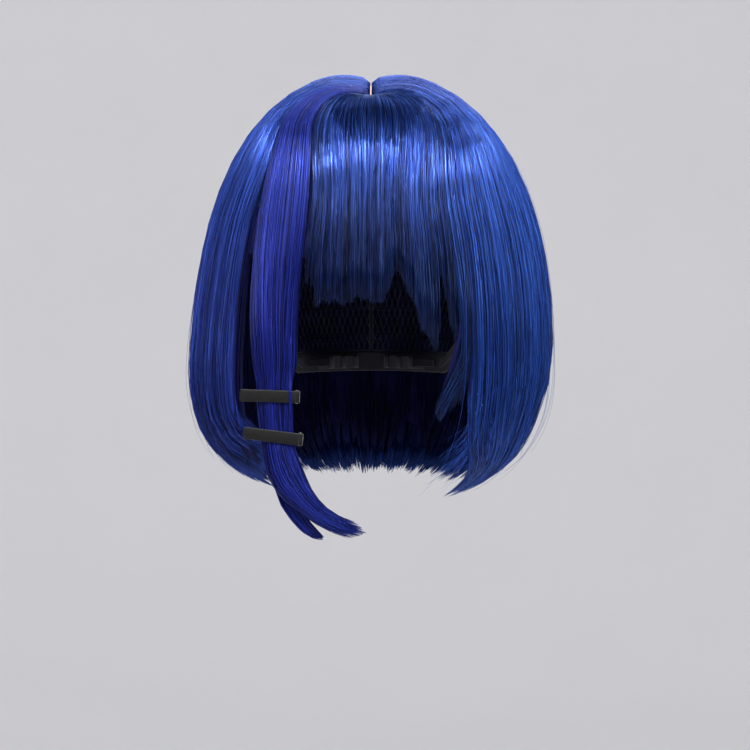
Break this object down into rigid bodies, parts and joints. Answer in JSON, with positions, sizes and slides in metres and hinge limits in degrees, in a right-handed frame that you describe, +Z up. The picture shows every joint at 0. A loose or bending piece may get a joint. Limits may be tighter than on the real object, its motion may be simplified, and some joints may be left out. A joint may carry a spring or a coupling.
{
  "type": "bob wig with side lock and hair clips",
  "caption": "Bob wig with a fringe, a long side lock held by two black hair clips, on a net cap with ear tabs and sliding nape adjusters.",
  "frame": {"origin": "centre of the head cavity, level with the ears (mount head_seat)", "axes": "+Z up through the crown, -Y the way the face looks, +X towards the wearer's left"},
  "size_m": [0.2359, 0.23, 0.2906],
  "materials": {
    "hair_blue": "silky royal-blue fibre with a violet cast",
    "hair_dark": "shaded inner fibre, navy",
    "lock_blue": "silky indigo-blue fibre",
    "cap_net": "black stretch net",
    "cap_elastic": "woven black elastic",
    "skin_patch": "matt skin-coloured film",
    "bright_steel": "plain steel",
    "clip_black": "matt black enamel",
    "hook_plastic": "moulded black plastic"
  },
  "bodies": {
    "wig": {"cap_net_front_left": "cap_net", "cap_net_front_right": "cap_net", "cap_net_back_left": "cap_net", "cap_net_back_right": "cap_net", "cap_front_band": "cap_elastic", "cap_side_band_left": "cap_elastic", "cap_side_band_right": "cap_elastic", "cap_nape_band": "cap_elastic", "ear_tab_left": "cap_elastic", "ear_tab_right": "cap_elastic", "ear_stay_left": "bright_steel", "ear_stay_right": "bright_steel", "crown_tape_lengthwise": "cap_elastic", "crown_tape_crosswise": "cap_elastic", "parting_skin": "skin_patch", "weft_tracks_left": "hair_dark", "weft_tracks_right": "hair_dark", "weft_tracks_back": "hair_dark", "adjuster_loops_left": "cap_elastic", "adjuster_loops_right": "cap_elastic", "adjuster_strap_left": "cap_elastic", "adjuster_strap_right": "cap_elastic", "fringe_centre": "hair_blue", "fringe_right_wisp": "hair_blue", "fringe_left_point": "hair_blue", "fringe_left_wisp": "hair_blue", "face_lock_left": "hair_blue", "side_curtain_left": "hair_blue", "side_curtain_right": "hair_blue", "back_left": "hair_blue", "back_right": "hair_blue", "under_layer_left": "hair_dark", "under_layer_right": "hair_dark", "under_layer_back": "hair_dark", "sidelock_root": "lock_blue"},
    "side_lock": {"sidelock_tail": "lock_blue", "sidelock_short_tip": "lock_blue"},
    "clip_upper": {"clip_upper_bar": "clip_black", "clip_upper_pin": "bright_steel", "clip_upper_spring": "bright_steel"},
    "clip_upper_jaw": {"clip_upper_jaw": "clip_black"},
    "clip_lower": {"clip_lower_bar": "clip_black", "clip_lower_pin": "bright_steel", "clip_lower_spring": "bright_steel"},
    "clip_lower_jaw": {"clip_lower_jaw": "clip_black"},
    "adjuster_left": {"adjuster_hook_left": "hook_plastic"},
    "adjuster_right": {"adjuster_hook_right": "hook_plastic"}
  },
  "joints": [
    {"name": "side_lock_swing", "type": "hinge", "parent": "wig", "child": "side_lock", "pos_m": [-0.061, -0.095, 0.006], "axis": [-1, 0, 0], "range_deg": [-6, 50]},
    {"name": "clip_upper_slide", "type": "slide", "parent": "side_lock", "child": "clip_upper", "axis": [0.9994, 0, -0.0349], "range_m": [0, 0.045]},
    {"name": "clip_upper_open", "type": "hinge", "parent": "clip_upper", "child": "clip_upper_jaw", "pos_m": [-0.04532, -0.096, -0.06161], "axis": [-0.0349, 0, -0.9994], "range_deg": [0, 25], "stiffness_Nm_per_rad": 0.02, "springref_deg": -2.86},
    {"name": "clip_lower_slide", "type": "slide", "parent": "side_lock", "child": "clip_lower", "axis": [0.9925, 0, -0.1219], "range_m": [0, 0.045]},
    {"name": "clip_lower_open", "type": "hinge", "parent": "clip_lower", "child": "clip_lower_jaw", "pos_m": [-0.04346, -0.096, -0.08772], "axis": [-0.1219, 0, -0.9925], "range_deg": [0, 25], "stiffness_Nm_per_rad": 0.02, "springref_deg": -2.86},
    {"name": "adjuster_left_slide", "type": "slide", "parent": "wig", "child": "adjuster_left", "axis": [-0.9063, 0.4226, 0], "range_m": [0, 0.018], "deforming": ["adjuster_strap_left"]},
    {"name": "adjuster_right_slide", "type": "slide", "parent": "wig", "child": "adjuster_right", "axis": [0.9063, 0.4226, 0], "range_m": [0, 0.018], "deforming": ["adjuster_strap_right"]}
  ]
}
